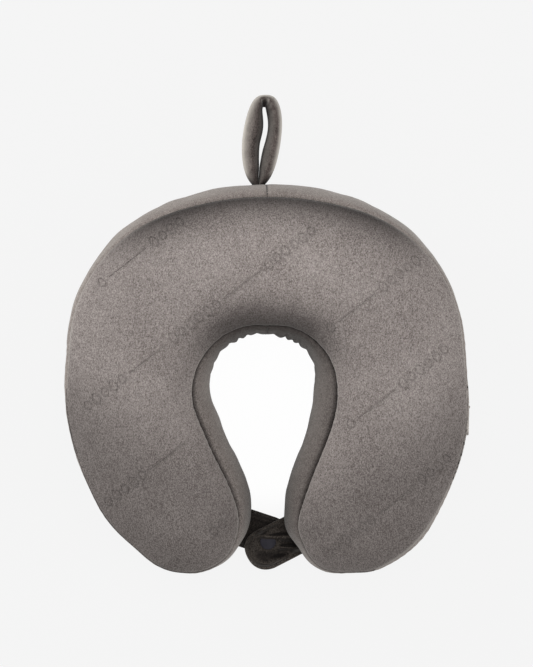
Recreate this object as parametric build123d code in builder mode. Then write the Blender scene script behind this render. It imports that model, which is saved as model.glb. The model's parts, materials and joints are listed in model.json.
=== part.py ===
"""U-shaped memory foam neck pillow, lying flat as it does on a table.

Units are millimetres. The origin is on the table, under the middle of the roll behind the neck. +Z is up, +Y
points to the hanging loop, and the arms open towards -Y.
"""

import math
import os

from build123d import *

# Outline from above at mid height, walked from the neck hole round one arm to the back of the pillow.
neck_y = -98.5
neck_radius = 41.4
neck_wrap = 20.5  # degrees the neck circle runs past the pillow's cross line
inner_straight = 69.0
tip_radius = 49.5
tip_sweep = 144.5
side_radius = 151.0
side_sweep = 62.0
flank_length = 42.0
shoulder_radius = 114.0
shoulder_sweep = 58.5

# Section of the pillow.
height = 100.0
edge_round = 38.0
mid_z = height / 2
top_seam_z = 82.0
bottom_seam_z = height - top_seam_z

# Layers, from the outside in.
cover_thickness = 2.0
liner_thickness = 0.7
layer_gap = 0.2
liner_inset = cover_thickness + layer_gap
foam_inset = liner_inset + liner_thickness + layer_gap

# Seam threads lie in a small groove.
thread_radius = 0.5
groove_radius = 0.9
seam_end_gap = 2.0  # the upright seams' threads stop short of the long seams

# Zip, round the outer side of the arm on +X. Radial places count outwards from the cover's outer face.
zip_low_angle = -55.5
zip_high_angle = 1.5
zip_slot_half = 4.6
welt_half = 11.0  # the gusset's folded edges stand proud on both sides of the slot
welt_height = 1.8
zip_gap_half = 0.8  # half the gap between the two tapes, where the slider's neck runs
tape_outer_z = 7.0
tape_inner_r = -2.75
tape_outer_r = -2.15
coil_outer_z = 2.6
coil_rail_z = 1.8
coil_outer_r = -0.75
coil_pitch = 2.4
coil_tooth = 1.2
relief_half = 7.4
relief_r = -3.95

slider_length = 10.0
slider_half_width = 3.8
slider_plate = 0.65
slider_clearance = 0.2
slider_neck_half = 0.45
slider_neck_length = 2.6
slider_park_gap = 0.5
stop_length = 2.0
stop_height = 0.7
stop_half_width = 3.0
pin_radius = 0.6
pin_half_length = 2.7
post_thickness = 0.7
post_inset = 0.35
pin_r = 2.0
eye_inner = 0.85
eye_outer = 1.4
eye_half_width = 1.7
pull_length = 22.0
pull_half_width = 3.2
pull_thickness = 1.2
pull_corner = 2.8
pull_hole_radius = 1.4
pull_hole_inset = 4.2
garage_length = 13.0
garage_half_width = 9.0
garage_thickness = 1.9
garage_overlap = 1.5
garage_gap = 0.05
garage_edge_round = 0.5
welt_end_gap = 0.4
welt_root = 0.5
stitch_radius = 0.3
zip_stitch_z = 7.0

# Hanging loop at the back seam.
loop_length = 66.0
loop_width = 29.0
loop_depth = 16.0
loop_slit_width = 5.6
loop_slit_length = 44.0
loop_wall_gap = 0.8
loop_slit_shift = 3.0  # the slit lies a little nearer the loop's free end

# Closing straps and their four-part snap.
strap_width = 29.0
strap_thickness = 2.2
strap_root_gap = 1.2
right_strap_length = 35.0
right_strap_slant = 27.0  # degrees from the cross line, towards the open end
left_strap_length = 38.0
left_strap_slant = 18.5
snap_x = 2.5
snap_y = neck_y - 122.0
snap_cap_radius = 6.2
snap_cap_thickness = 1.2
snap_base_radius = 5.5
snap_post_radius = 1.2
stud_base = 0.8
stud_radius = 2.1
stud_height = 2.3
socket_height = 3.2
socket_bore = 2.65
socket_bore_depth = 2.5
snap_clearance = 0.2
left_strap_z = 15.0
stitch_inset = 2.6
stitch_width = 0.6
stitch_height = 0.3

# Levels of the snap stack, upwards from the lower strap.
stud_z = left_strap_z + strap_thickness
socket_z = stud_z + stud_base + snap_clearance
right_strap_z = socket_z + socket_height

os.makedirs("parts", exist_ok=True)


def save(part, label):
    """Labels a finished piece and writes it as one STEP file."""
    part.label = label
    export_step(part, f"parts/{label}.step")


# The outline is one closed chain of tangent arcs and lines, mirrored about the pillow's middle plane.
with BuildSketch() as footprint:
    with BuildLine() as outline:
        neck = CenterArc((0, neck_y), neck_radius, -neck_wrap, 90 + neck_wrap)
        inner = PolarLine(neck @ 0, inner_straight, angle=-90 - neck_wrap)
        tip = JernArc(inner @ 1, inner % 1, tip_radius, tip_sweep)
        side = JernArc(tip @ 1, tip % 1, side_radius, side_sweep)
        flank = PolarLine(side @ 1, flank_length, direction=side % 1)
        shoulder = JernArc(flank @ 1, flank % 1, shoulder_radius, shoulder_sweep)
        # The last arc has its centre on the middle plane, so the back of the pillow has no peak.
        nape_start = shoulder @ 1
        nape_angle = math.atan2((shoulder % 1).Y, -(shoulder % 1).X)
        nape_radius = nape_start.X / math.sin(nape_angle)
        back_y = nape_start.Y + nape_radius * (1 - math.cos(nape_angle))
        TangentArc(nape_start, (0, back_y), tangent=shoulder % 1)
        mirror(about=Plane.YZ)
    make_face()

nape_y = neck_y + neck_radius
tip_centre = tip.arc_center
zip_centre = side.arc_center
zip_axis = Axis((zip_centre.X, zip_centre.Y, 0), (0, 0, 1))


def round_inset(z):
    """How far the rounded edge stands in from the outline at height z."""
    rise = max(edge_round - z, z - (height - edge_round), 0)
    return edge_round - math.sqrt(edge_round**2 - rise**2)


def pillow_solid(inset):
    """The whole pillow's rounded U, shrunk by inset on every side."""
    with BuildPart() as solid:
        with BuildSketch(Plane.XY.offset(inset)):
            add(footprint.sketch)
            if inset:
                offset(amount=-inset, kind=Kind.ARC)
        extrude(amount=height - 2 * inset)
        rims = solid.edges().group_by(Axis.Z)
        fillet(rims[0] + rims[-1], radius=edge_round - inset)
    return solid.part


def seam_cord(z, radius):
    """A round cord along the pillow's outer face at height z."""
    with BuildSketch() as level:
        add(footprint.sketch)
        offset(amount=-round_inset(z), kind=Kind.ARC)
    with BuildPart() as cord:
        with BuildLine() as path:
            add(level.face().outer_wire().moved(Location((0, 0, z))))
        with BuildSketch(Plane(origin=path.wire() @ 0, z_dir=path.wire() % 0)):
            Circle(radius)
        sweep()
    return cord.part


def cross_seam_cord(y, inward, radius, end_gap):
    """A round cord up the middle plane's wall at y. The wall curves inward (+1 or -1) above and below."""
    low = bottom_seam_z + end_gap
    low_y = y + inward * round_inset(low)
    lower_mid = (low + edge_round) / 2
    upper_mid = height - lower_mid
    with BuildPart() as cord:
        with BuildLine(Plane.YZ) as path:
            lower = ThreePointArc(
                (low_y, low),
                (y + inward * round_inset(lower_mid), lower_mid),
                (y, edge_round),
            )
            upright = Line(lower @ 1, (y, height - edge_round))
            ThreePointArc(
                upright @ 1,
                (y + inward * round_inset(lower_mid), upper_mid),
                (low_y, height - low),
            )
        with BuildSketch(Plane(origin=path.wire() @ 0, z_dir=path.wire() % 0)):
            Circle(radius)
        sweep()
    return cord.part


def zip_band(inner_r, outer_r, low_z, high_z, low_angle, high_angle):
    """A curved bar round the zip's axis. Radii count from the cover's outer face, heights from mid height."""
    start = math.radians(low_angle)
    radial = (math.cos(start), math.sin(start), 0)
    plane = Plane(
        origin=(zip_centre.X, zip_centre.Y, mid_z),
        x_dir=radial,
        z_dir=(radial[1], -radial[0], 0),
    )
    with BuildPart() as band:
        with BuildSketch(plane):
            with Locations((side_radius + (inner_r + outer_r) / 2, (low_z + high_z) / 2)):
                Rectangle(outer_r - inner_r, high_z - low_z)
        revolve(axis=zip_axis, revolution_arc=high_angle - low_angle)
    return band.part


def arc_degrees(length):
    """The angle that a length along the zip takes up."""
    return math.degrees(length / side_radius)


def zip_plane(angle, radial_place=0.0):
    """A plane on the zip at an angle: X outwards, Y along the zip's direction of closing, Z up."""
    a = math.radians(angle)
    r = side_radius + radial_place
    return Plane(
        origin=(zip_centre.X + r * math.cos(a), zip_centre.Y + r * math.sin(a), mid_z),
        x_dir=(math.cos(a), math.sin(a), 0),
        z_dir=(0, 0, 1),
    )


def zip_relief(margin):
    """The hollow behind the zip that lets the slider's inner plate pass."""
    extra = arc_degrees(slider_length / 2 + margin)
    half = relief_half + margin
    return zip_band(relief_r - margin, 2.0, -half, half, zip_low_angle - extra, zip_high_angle + extra)


# Foam core and its jersey liner.
with BuildPart() as foam_core:
    add(pillow_solid(foam_inset))
    add(zip_relief(liner_thickness + layer_gap), mode=Mode.SUBTRACT)
save(foam_core.part, "foam_core")

with BuildPart() as liner_inside:
    add(pillow_solid(liner_inset + liner_thickness))
    add(zip_relief(liner_thickness), mode=Mode.SUBTRACT)

with BuildPart() as foam_liner:
    add(pillow_solid(liner_inset))
    add(zip_relief(0), mode=Mode.SUBTRACT)
    add(liner_inside.part, mode=Mode.SUBTRACT)
save(foam_liner.part, "foam_liner")

# Seam grooves and threads.
top_groove = seam_cord(top_seam_z, groove_radius)
bottom_groove = seam_cord(bottom_seam_z, groove_radius)
save(seam_cord(top_seam_z, thread_radius), "top_seam_thread")
save(seam_cord(bottom_seam_z, thread_radius), "bottom_seam_thread")
save(cross_seam_cord(back_y, -1, thread_radius, seam_end_gap), "back_seam_thread")
save(cross_seam_cord(nape_y, 1, thread_radius, seam_end_gap), "nape_seam_thread")

# The cover: two U-shaped panels and, between them, one gusset strip round each arm.
with BuildPart() as cover:
    add(pillow_solid(0))
    add(pillow_solid(cover_thickness), mode=Mode.SUBTRACT)
    add([top_groove, bottom_groove], mode=Mode.SUBTRACT)

with BuildPart() as top_panel:
    add(cover.part)
    split(bisect_by=Plane.XY.offset(top_seam_z), keep=Keep.TOP)
save(top_panel.part, "top_panel")

with BuildPart() as bottom_panel:
    add(cover.part)
    split(bisect_by=Plane.XY.offset(bottom_seam_z), keep=Keep.BOTTOM)
save(bottom_panel.part, "bottom_panel")

with BuildPart() as gusset_ring:
    add(cover.part)
    split(bisect_by=Plane.XY.offset(top_seam_z), keep=Keep.BOTTOM)
    split(bisect_by=Plane.XY.offset(bottom_seam_z), keep=Keep.TOP)
    add(cross_seam_cord(back_y, -1, groove_radius, seam_end_gap / 2), mode=Mode.SUBTRACT)
    add(cross_seam_cord(nape_y, 1, groove_radius, seam_end_gap / 2), mode=Mode.SUBTRACT)

with BuildPart() as left_gusset:
    add(gusset_ring.part)
    split(bisect_by=Plane.YZ, keep=Keep.BOTTOM)
save(left_gusset.part, "left_gusset")

garage_low = zip_high_angle - arc_degrees(garage_overlap)
garage_high = garage_low + arc_degrees(garage_length)
welt_high = garage_low - arc_degrees(welt_end_gap)
with BuildPart() as right_gusset:
    add(gusset_ring.part)
    split(bisect_by=Plane.YZ, keep=Keep.TOP)
    add(zip_band(-welt_root, welt_height, -welt_half, welt_half, zip_low_angle, welt_high))
    half = zip_slot_half
    slot_r = cover_thickness + welt_height
    add(zip_band(-slot_r, slot_r, -half, half, zip_low_angle, zip_high_angle), mode=Mode.SUBTRACT)
save(right_gusset.part, "right_gusset")


def zip_tape(sign):
    """One woven tape, behind the gusset's folded edge."""
    low, high = sorted((sign * zip_gap_half, sign * tape_outer_z))
    return zip_band(tape_inner_r, tape_outer_r, low, high, zip_low_angle, zip_high_angle)


def zip_coil(sign):
    """One row of the coil: a rail on the tape's edge with teeth towards the other row."""
    span = zip_high_angle - zip_low_angle
    step = arc_degrees(coil_pitch)
    count = int(span / step)
    rail_low, rail_high = sorted((sign * coil_rail_z, sign * coil_outer_z))
    mid_r = (tape_outer_r + coil_outer_r) / 2
    tooth_z = sign * (zip_gap_half + coil_rail_z) / 2
    with BuildPart() as coil:
        add(zip_band(tape_outer_r, coil_outer_r, rail_low, rail_high, zip_low_angle, zip_high_angle))
        for tooth in range(count):
            # The two rows are half a pitch apart, as meshed rows are.
            angle = zip_low_angle + (tooth + 0.5 + 0.25 * sign) * step
            with Locations(zip_plane(angle, mid_r).offset(tooth_z)):
                Box(coil_outer_r - tape_outer_r, coil_tooth, coil_rail_z - zip_gap_half + 0.1)
    return coil.part


save(zip_tape(1), "zip_tape_upper")
save(zip_tape(-1), "zip_tape_lower")
save(zip_coil(1), "zip_coil_upper")
save(zip_coil(-1), "zip_coil_lower")

# The top stop is a crimp on each tape; the bottom stop ties both rows together.
stop_angle = arc_degrees(stop_length)
stop_outer_r = coil_outer_r + stop_height
with BuildPart() as zip_top_stop:
    for sign in (1, -1):
        low, high = sorted((sign * zip_gap_half, sign * stop_half_width))
        add(zip_band(coil_outer_r, stop_outer_r, low, high, zip_high_angle - stop_angle, zip_high_angle))
save(zip_top_stop.part, "zip_top_stop")

with BuildPart() as zip_bottom_stop:
    half = stop_half_width
    add(zip_band(coil_outer_r, stop_outer_r, -half, half, zip_low_angle, zip_low_angle + stop_angle))
save(zip_bottom_stop.part, "zip_bottom_stop")

# Slider, parked just below the top stop with the zip closed.
slider_high = zip_high_angle - stop_angle - arc_degrees(slider_park_gap)
slider_low = slider_high - arc_degrees(slider_length)
slider_mid = (slider_low + slider_high) / 2
upper_plate_r = coil_outer_r + slider_clearance
lower_plate_r = tape_inner_r - slider_clearance
with BuildPart() as zip_slider:
    half = slider_half_width
    plate_top = upper_plate_r + slider_plate
    plate_bottom = lower_plate_r - slider_plate
    add(zip_band(upper_plate_r, plate_top, -half, half, slider_low, slider_high))
    add(zip_band(plate_bottom, lower_plate_r, -half, half, slider_low, slider_high))
    neck_low = slider_high - arc_degrees(slider_neck_length)
    half = slider_neck_half
    add(zip_band(plate_bottom, plate_top, -half, half, neck_low, slider_high))
    for sign in (1, -1):
        flange_inner_z = coil_outer_z + slider_clearance
        flange_low, flange_high = sorted((sign * flange_inner_z, sign * slider_half_width))
        flange_r = tape_outer_r + slider_clearance
        add(zip_band(flange_r, plate_top, flange_low, flange_high, slider_low, slider_high))
        post_place = zip_plane(slider_mid, (plate_top + pin_r) / 2)
        with Locations(post_place.offset(sign * (pin_half_length - post_inset))):
            Box(pin_r - plate_top + 0.2, 2 * pin_radius, post_thickness)
    with Locations(zip_plane(slider_mid, pin_r)):
        Cylinder(pin_radius, 2 * pin_half_length)
save(zip_slider.part, "zip_slider")

# Pull tab: an eye round the slider's pin and a flat tab lying back along the closed zip.
with BuildPart() as zip_pull:
    with BuildSketch(zip_plane(slider_mid, pin_r).offset(-eye_half_width)):
        Circle(eye_outer)
        Circle(eye_inner, mode=Mode.SUBTRACT)
    extrude(amount=2 * eye_half_width)
    tab_start = eye_outer - 0.2
    slider_place = zip_plane(slider_mid, pin_r - pull_thickness / 2)
    tab_plane = Plane(origin=slider_place.origin, x_dir=slider_place.y_dir, z_dir=slider_place.x_dir)
    with BuildSketch(tab_plane):
        with Locations((-(tab_start + pull_length) / 2, 0)):
            RectangleRounded(pull_length - tab_start, 2 * pull_half_width, pull_corner)
        with Locations((-pull_length + pull_hole_inset, 0)):
            Circle(pull_hole_radius, mode=Mode.SUBTRACT)
    extrude(amount=pull_thickness)
save(zip_pull.part, "zip_pull")

# A fabric hood covers the zip's closed end.
with BuildPart() as zip_garage:
    half = garage_half_width
    add(zip_band(garage_gap, garage_thickness, -half, half, garage_low, garage_high))
    far_end = zip_garage.faces().sort_by(Axis.Y)[-1]
    fillet(far_end.edges().filter_by(Axis.Z, reverse=True), garage_edge_round)
save(zip_garage.part, "zip_garage")

# Two rows of top stitching hold the gusset's folded edges to the tapes.
with BuildPart() as zip_topstitch:
    start = math.radians(zip_low_angle)
    stitch_plane = Plane(
        origin=(zip_centre.X, zip_centre.Y, mid_z),
        x_dir=(math.cos(start), math.sin(start), 0),
        z_dir=(math.sin(start), -math.cos(start), 0),
    )
    with BuildSketch(stitch_plane):
        stitch_r = side_radius + welt_height + stitch_radius
        with Locations((stitch_r, zip_stitch_z), (stitch_r, -zip_stitch_z)):
            Circle(stitch_radius)
    revolve(axis=zip_axis, revolution_arc=welt_high - zip_low_angle)
save(zip_topstitch.part, "zip_topstitch")

# Hanging loop: a soft ring with a long slit, its root end round so that it can flop up and down.
loop_y = back_y + loop_wall_gap
with BuildPart() as hang_loop:
    with BuildSketch(Plane.XY.offset(mid_z - loop_depth / 2)):
        with Locations((0, loop_y + loop_length / 2)):
            Ellipse(loop_width / 2, loop_length / 2)
    extrude(amount=loop_depth)
    with BuildSketch(Plane.YZ.offset(-loop_width / 2)):
        with Locations((loop_y + loop_length / 2, mid_z)):
            SlotOverall(loop_length, loop_depth)
    extrude(amount=loop_width, mode=Mode.INTERSECT)
    with BuildSketch(Plane.XY.offset(mid_z - loop_depth / 2)):
        with Locations((0, loop_y + loop_length / 2 + loop_slit_shift)):
            SlotOverall(loop_slit_length, loop_slit_width, rotation=90)
    extrude(amount=loop_depth, mode=Mode.SUBTRACT)
save(hang_loop.part, "hang_loop")


def strap_plane(arm, slant, z):
    """A strap's own plane on its arm (-1 left, +1 right): X from its root to its free end, Z up."""
    along_x = -arm * math.cos(math.radians(slant))
    along_y = -math.sin(math.radians(slant))
    root = tip_radius - round_inset(z + strap_thickness) + strap_root_gap
    origin = (arm * tip_centre.X + root * along_x, tip_centre.Y + root * along_y, z)
    return Plane(origin=origin, x_dir=(along_x, along_y, 0), z_dir=(0, 0, 1))


def strap_shape(length, inset):
    """The strap's plan shape: a square root and a half-round end."""
    half = strap_width / 2 - inset
    straight = length - strap_width / 2
    with BuildSketch() as shape:
        with BuildLine():
            Polyline((straight, half), (inset, half), (inset, -half), (straight, -half))
            ThreePointArc((straight, -half), (straight + half, 0), (straight, half))
        make_face()
    return shape.sketch


def strap(plane, length):
    """One folded velour strap with a hole for its snap's post and a rounded root edge."""
    snap_place = plane.to_local_coords(Vector(snap_x, snap_y, plane.origin.Z))
    with BuildPart() as body:
        with BuildSketch(plane):
            add(strap_shape(length, 0))
            with Locations((snap_place.X, snap_place.Y)):
                Circle(snap_post_radius, mode=Mode.SUBTRACT)
        extrude(amount=strap_thickness)
        root_face = body.faces().sort_by_distance(plane.origin)[0]
        fillet(root_face.edges().filter_by(Axis.Z, reverse=True), strap_thickness / 2 - 0.05)
    return body.part


def strap_stitching(plane, length):
    """The row of stitching that stands on a strap's upper face, just inside its edge."""
    with BuildPart() as ring:
        with BuildSketch(plane.offset(strap_thickness)):
            add(strap_shape(length, stitch_inset))
            add(strap_shape(length, stitch_inset + stitch_width), mode=Mode.SUBTRACT)
        extrude(amount=stitch_height)
    return ring.part


left_plane = strap_plane(-1, left_strap_slant, left_strap_z)
right_plane = strap_plane(1, right_strap_slant, right_strap_z)
save(strap(left_plane, left_strap_length), "left_strap")
save(strap(right_plane, right_strap_length), "right_strap")
save(strap_stitching(left_plane, left_strap_length), "left_strap_stitching")
save(strap_stitching(right_plane, right_strap_length), "right_strap_stitching")

# Snap: a cap with a post on the outside of each strap, a socket under the upper one, a stud on the lower one.
with BuildPart() as snap_cap:
    with BuildSketch(Plane.XY.offset(right_strap_z + strap_thickness)):
        with Locations((snap_x, snap_y)):
            Circle(snap_cap_radius)
    extrude(amount=snap_cap_thickness)
    fillet(snap_cap.edges().group_by(Axis.Z)[-1], snap_cap_thickness * 0.6)
    with BuildSketch(Plane.XY.offset(right_strap_z - 0.6)):
        with Locations((snap_x, snap_y)):
            Circle(snap_post_radius)
    extrude(amount=strap_thickness + 0.6)
save(snap_cap.part, "snap_cap")

with BuildPart() as snap_socket:
    with BuildSketch(Plane.XY.offset(socket_z)):
        with Locations((snap_x, snap_y)):
            Circle(snap_base_radius)
    extrude(amount=socket_height)
    chamfer(snap_socket.edges().group_by(Axis.Z)[0], 0.5)
    with Locations((snap_x, snap_y, socket_z)):
        Cylinder(socket_bore, 2 * socket_bore_depth, mode=Mode.SUBTRACT)
        Cylinder(snap_post_radius, 4 * socket_height, mode=Mode.SUBTRACT)
save(snap_socket.part, "snap_socket")

with BuildPart() as snap_stud:
    with BuildSketch(Plane.XY.offset(stud_z)):
        with Locations((snap_x, snap_y)):
            Circle(snap_base_radius)
    extrude(amount=stud_base)
    with BuildSketch(Plane.XY.offset(stud_z + stud_base)):
        with Locations((snap_x, snap_y)):
            Circle(stud_radius)
    extrude(amount=stud_height - stud_base)
    fillet(snap_stud.edges().group_by(Axis.Z)[-1], 0.4)
    with Locations((snap_x, snap_y, stud_z)):
        Cylinder(snap_post_radius, 4 * stud_height, mode=Mode.SUBTRACT)
save(snap_stud.part, "snap_stud")

with BuildPart() as snap_back_cap:
    with BuildSketch(Plane.XY.offset(left_strap_z - snap_cap_thickness)):
        with Locations((snap_x, snap_y)):
            Circle(snap_cap_radius)
    extrude(amount=snap_cap_thickness)
    fillet(snap_back_cap.edges().group_by(Axis.Z)[0], snap_cap_thickness * 0.6)
    with BuildSketch(Plane.XY.offset(left_strap_z)):
        with Locations((snap_x, snap_y)):
            Circle(snap_post_radius)
    extrude(amount=strap_thickness + stud_base)
save(snap_back_cap.part, "snap_back_cap")
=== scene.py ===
"""Looks of the U-shaped neck pillow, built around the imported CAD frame. Metres, +Z up, arms towards -Y."""

import json
import math
import bmesh
import bpy
import numpy as np
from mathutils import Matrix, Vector, noise
from mathutils.bvhtree import BVHTree


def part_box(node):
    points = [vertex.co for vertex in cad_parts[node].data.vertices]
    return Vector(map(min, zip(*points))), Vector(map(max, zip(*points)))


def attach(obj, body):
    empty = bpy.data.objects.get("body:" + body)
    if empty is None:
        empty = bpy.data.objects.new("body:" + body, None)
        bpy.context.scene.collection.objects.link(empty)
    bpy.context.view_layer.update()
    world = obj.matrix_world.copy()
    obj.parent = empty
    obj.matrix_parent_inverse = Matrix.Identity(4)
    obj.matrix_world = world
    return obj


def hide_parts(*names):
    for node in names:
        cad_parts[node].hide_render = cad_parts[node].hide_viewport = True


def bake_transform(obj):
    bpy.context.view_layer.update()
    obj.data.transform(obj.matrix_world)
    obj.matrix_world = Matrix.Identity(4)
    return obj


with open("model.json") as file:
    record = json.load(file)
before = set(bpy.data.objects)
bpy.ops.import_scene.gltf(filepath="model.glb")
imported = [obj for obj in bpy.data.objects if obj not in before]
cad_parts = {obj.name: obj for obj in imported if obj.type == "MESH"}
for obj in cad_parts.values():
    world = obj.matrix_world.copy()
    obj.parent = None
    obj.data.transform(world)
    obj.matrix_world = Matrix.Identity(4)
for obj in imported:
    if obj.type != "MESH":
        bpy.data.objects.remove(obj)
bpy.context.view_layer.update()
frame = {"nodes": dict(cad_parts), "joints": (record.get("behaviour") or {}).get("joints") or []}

MM = 0.001
joints = {j["name"]: j for j in frame["joints"]}

# ---------------------------------------------------------------- the outline, as in the CAD
NECK_R, NECK_TURN = 41.4, 110.5
INNER_STRAIGHT = 69.0
TIP_R, TIP_TURN = 49.5, 144.5
SIDE_R, SIDE_TURN = 151.0, 62.0
FLANK = 42.0
SHOULDER_R, SHOULDER_TURN = 114.0, 58.5
BACK_TURN = 180.0 + NECK_TURN - TIP_TURN - SIDE_TURN - SHOULDER_TURN

HEIGHT = 100.0
HALF = HEIGHT / 2
TOP_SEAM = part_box("top_seam_thread")[0].z / MM + 0.5 - HALF
BOTTOM_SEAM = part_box("bottom_seam_thread")[0].z / MM + 0.5 - HALF
BACK_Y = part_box("left_gusset")[1].y / MM

# Columns run round the outline, rows run from the bottom spine over the gusset to the top spine.
COLUMNS = 1080
SIM_COLUMNS = 270


# Each stretch as (radius, turn in degrees or length, turning way), from the back centre to the nape.
# A straight has radius 0, and close_half finds the back arc's radius.
HALF_STRETCHES = (
    (None, BACK_TURN, -1),
    (SHOULDER_R, SHOULDER_TURN, -1),
    (0.0, FLANK, 0),
    (SIDE_R, SIDE_TURN, -1),
    (TIP_R, TIP_TURN, -1),
    (0.0, INNER_STRAIGHT, 0),
    (NECK_R, NECK_TURN, 1),
)


def heading_of(angle):
    """Unit vector along a heading, and the one to its left."""
    return np.array([math.cos(angle), math.sin(angle)]), np.array([-math.sin(angle), math.cos(angle)])


def walk_half(back_r):
    """Start, heading, radius, length and turning way of each stretch, and the point where the walk ends."""
    p = np.array([0.0, BACK_Y])
    heading = 0.0
    out = []
    for radius, size, turn in HALF_STRETCHES:
        radius = back_r if radius is None else radius
        if turn == 0:
            out.append((p, heading, 0.0, size, 0))
            p = p + size * heading_of(heading)[0]
            continue
        angle = math.radians(size)
        out.append((p, heading, radius, radius * angle, turn))
        centre = p + turn * radius * heading_of(heading)[1]
        heading += turn * angle
        p = centre - turn * radius * heading_of(heading)[1]
    return out, p


def close_half():
    """The back arc's radius is the one that ends the half outline on the middle plane."""
    probe = 200.0
    miss = walk_half(probe)[1][0]
    back_r = probe - miss / math.sin(math.radians(BACK_TURN))
    return walk_half(back_r)[0]


STRETCHES = close_half()
JOINTS_S = np.cumsum([0.0] + [s[3] for s in STRETCHES])
HALF_LENGTH = JOINTS_S[-1]
TIP_START, STRAIGHT_START, NECK_START = JOINTS_S[4:7]
STEP = 2 * HALF_LENGTH / COLUMNS
RUN = np.arange(COLUMNS) * STEP
NAPE = COLUMNS // 2
# Each column's path length from the back centre, the same on both sides.
FOLD = np.where(RUN > HALF_LENGTH, 2 * HALF_LENGTH - RUN, RUN)


def outline(count):
    """Positions, outward normals and folded path length of count points round the whole outline."""
    run = np.arange(count) * (2 * HALF_LENGTH / count)
    fold = np.where(run > HALF_LENGTH, 2 * HALF_LENGTH - run, run)
    points, normals = np.zeros((2, count, 2))
    for i, t in enumerate(fold):
        k = min(int(np.searchsorted(JOINTS_S, t, side="right")) - 1, len(STRETCHES) - 1)
        start, heading, radius, _, turn = STRETCHES[k]
        along = t - JOINTS_S[k]
        ahead, left = heading_of(heading)
        if turn == 0:
            points[i], normals[i] = start + along * ahead, left
        else:
            centre = start + turn * radius * left
            normals[i] = heading_of(heading + turn * along / radius)[1]
            points[i] = centre - turn * radius * normals[i]
    mirror = np.where(run > HALF_LENGTH, -1, 1)
    points[:, 0] *= mirror
    normals[:, 0] *= mirror
    return points, normals, fold


def smooth_loop(values, sigma):
    """Gaussian smoothing round a closed loop, sigma in samples."""
    reach = int(4 * sigma) + 1
    kernel = np.exp(-0.5 * (np.arange(-reach, reach + 1) / sigma) ** 2)
    kernel /= kernel.sum()
    padded = np.concatenate([values[-reach:], values, values[:reach]])
    return np.convolve(padded, kernel, mode="valid")


def spine_depth(points, normals, sigma):
    """How far in from each outline point the middle of the roll lies: the largest disc that fits there."""
    depth = np.zeros(len(points))
    for i, (p, n) in enumerate(zip(points, normals)):
        to = points - p
        inward = -(to @ n)
        ok = inward > 0.5
        depth[i] = ((to[ok] ** 2).sum(1) / (2 * inward[ok])).min()
    return smooth_loop(depth, sigma)


def bell(x, spread, power=2):
    """A rounded bump of height 1 at x = 0; a higher power flattens its top."""
    return np.exp(-((x / spread) ** power))


def eased(values, low, high):
    """0 below low, 1 above high, smooth between."""
    t = np.clip((values - low) / (high - low), 0, 1)
    return t * t * (3 - 2 * t)


def seam_inset(fold):
    """How far the top seam lies in from the silhouette, along the half outline from the back to the nape."""
    stations = [0, 60, 89, 112, 150, 205, TIP_START, TIP_START + 30, TIP_START + 68, TIP_START + 107]
    insets = [9.6, 8.2, 7.2, 5.8, 2.8, 0.6, 0.5, 0.6, 3.0, 8.5]
    stations += [STRAIGHT_START, NECK_START, NECK_START + 15, HALF_LENGTH - 30, HALF_LENGTH]
    insets += [11.5, 14.0, 13.0, 6.0, 4.0]
    return np.interp(fold, stations, insets)


# Where the filled pillow swells past (or falls short of) its pattern: (path length, spread, millimetres).
SWELLS = {
    "back": (0, 130, 1.5), "right shoulder": (88, 40, 1.6), "right side": (212, 35, 1.0),
    "right flank": (380, 34, 4.3), "right tip": (437, 18, -3.2), "right strap": (487, 16, -3.8),
    "right arm, inside": (523, 18, -3.2), "right of the neck": (616, 18, 4.2), "nape": (684, 13, 3.2),
    "nape's sides": (684, 38, -1.2), "left of the neck": (736, 40, -2.0), "left arm, inside": (821, 18, 2.2),
    "left strap": (881, 14, -1.3), "left tip": (932, 34, -3.0), "left tip, outside": (978, 22, -2.4),
    "left flank": (1048, 50, -3.9), "left side": (1158, 42, 2.3), "left shoulder": (1262, 42, 0.6),
}


def swell():
    """How far the outline stands off the pattern at each column."""
    out = np.zeros(COLUMNS)
    for place, spread, size in SWELLS.values():
        away = np.abs(RUN - place)
        out += size * bell(np.minimum(away, 2 * HALF_LENGTH - away), spread)
    return out


# Rows of the cover, as shares of the gusset's half height and of the way from the seam to the roll's spine.
GUSSET_ROWS = [0.0, 0.075, 0.15, 0.18, 0.22, 0.27, 0.32, 0.36, 0.41, 0.48]
GUSSET_ROWS += [0.56, 0.64, 0.72, 0.79, 0.85, 0.9, 0.935, 0.96, 0.98, 1.0]
PANEL_ROWS = [0.008, 0.018, 0.032, 0.052, 0.078, 0.108, 0.142, 0.182, 0.228]
PANEL_ROWS += [0.28, 0.336, 0.4, 0.47, 0.55, 0.64, 0.74, 0.85, 0.95]


# Rows from the bottom spine to the top spine as (part, side, share).
ROWS = [("panel", -1, v) for v in reversed(PANEL_ROWS)]
ROWS += [("gusset", -1, v) for v in reversed(GUSSET_ROWS)]
ROWS += [("gusset", 1, v) for v in GUSSET_ROWS[1:]]
ROWS += [("panel", 1, v) for v in PANEL_ROWS]
ROW_BOTTOM_SEAM = len(PANEL_ROWS)
ROW_MID = ROW_BOTTOM_SEAM + len(GUSSET_ROWS) - 1
ROW_TOP_SEAM = ROW_MID + len(GUSSET_ROWS) - 1


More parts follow.
